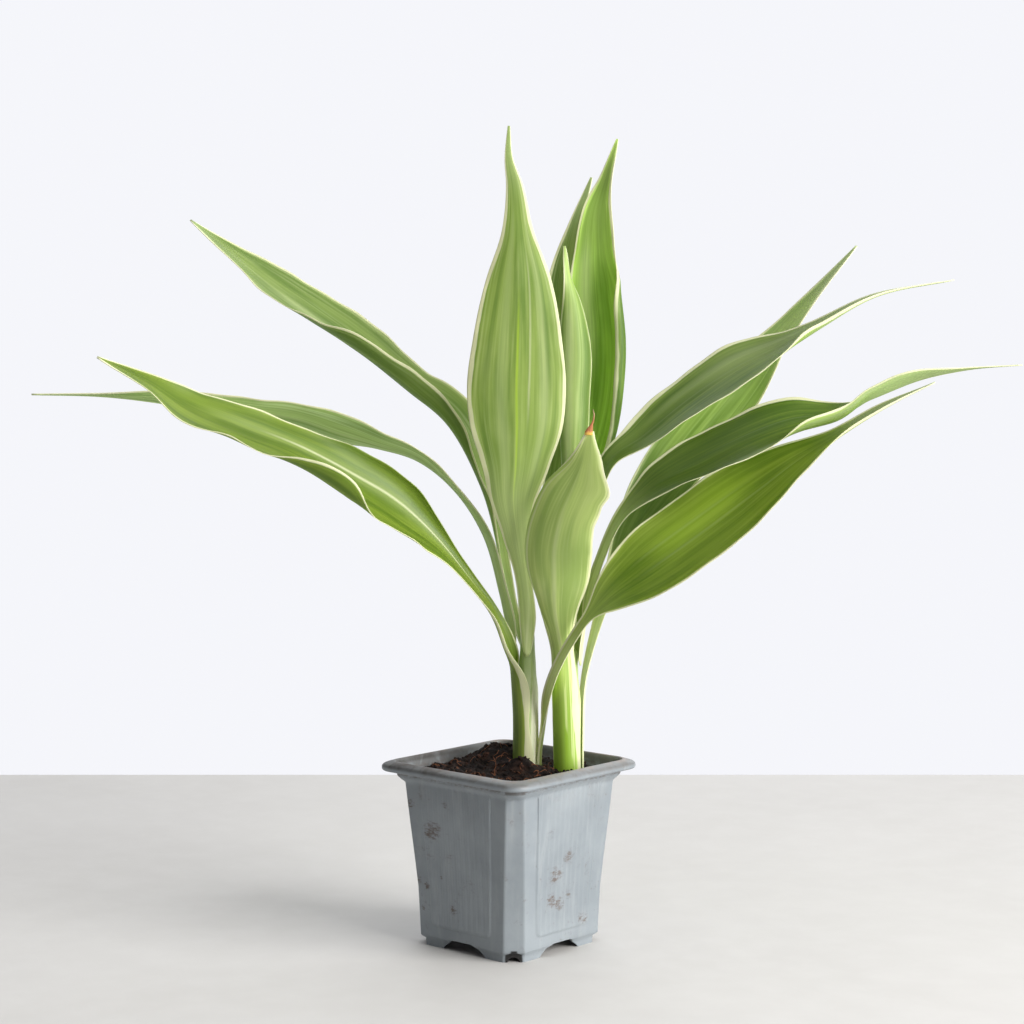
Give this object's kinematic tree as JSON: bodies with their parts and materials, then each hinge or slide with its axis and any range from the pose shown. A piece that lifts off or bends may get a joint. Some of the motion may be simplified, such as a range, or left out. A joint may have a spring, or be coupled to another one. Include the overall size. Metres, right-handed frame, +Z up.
{
  "type": "potted lucky bamboo",
  "caption": "Lucky bamboo shoots with long wavy leaves, pale at their margins, in soil in a small square plastic nursery pot.",
  "frame": {"origin": "on the surface the pot stands on, at the centre of the pot's square foot", "axes": "+Z up along the pot's axis; X and Y along the pot's sides"},
  "size_m": [0.353, 0.3259, 0.3826],
  "materials": {
    "pot": "blue-grey moulded plastic, satin, ribbed, smudged with soil",
    "soil": "dark damp potting soil with reddish fibre",
    "stem": "yellow-green and cream clasping leaf bases, satin",
    "leaf": "glossy mid-green leaf, cream margin, paler matt underside"
  },
  "bodies": {
    "root": {"pot": "pot", "soil": "soil", "stem_left": "stem", "stem_right": "stem", "leaf_left_low": "leaf", "leaf_left_mid": "leaf", "leaf_left_high": "leaf", "leaf_centre_tall": "leaf", "leaf_right_low": "leaf", "leaf_front_small": "leaf", "leaf_centre_young": "leaf", "leaf_back_tall": "leaf", "leaf_back_hidden": "leaf", "leaf_right_high": "leaf", "leaf_right_back": "leaf", "leaf_right_mid": "leaf"}
  },
  "joints": []
}
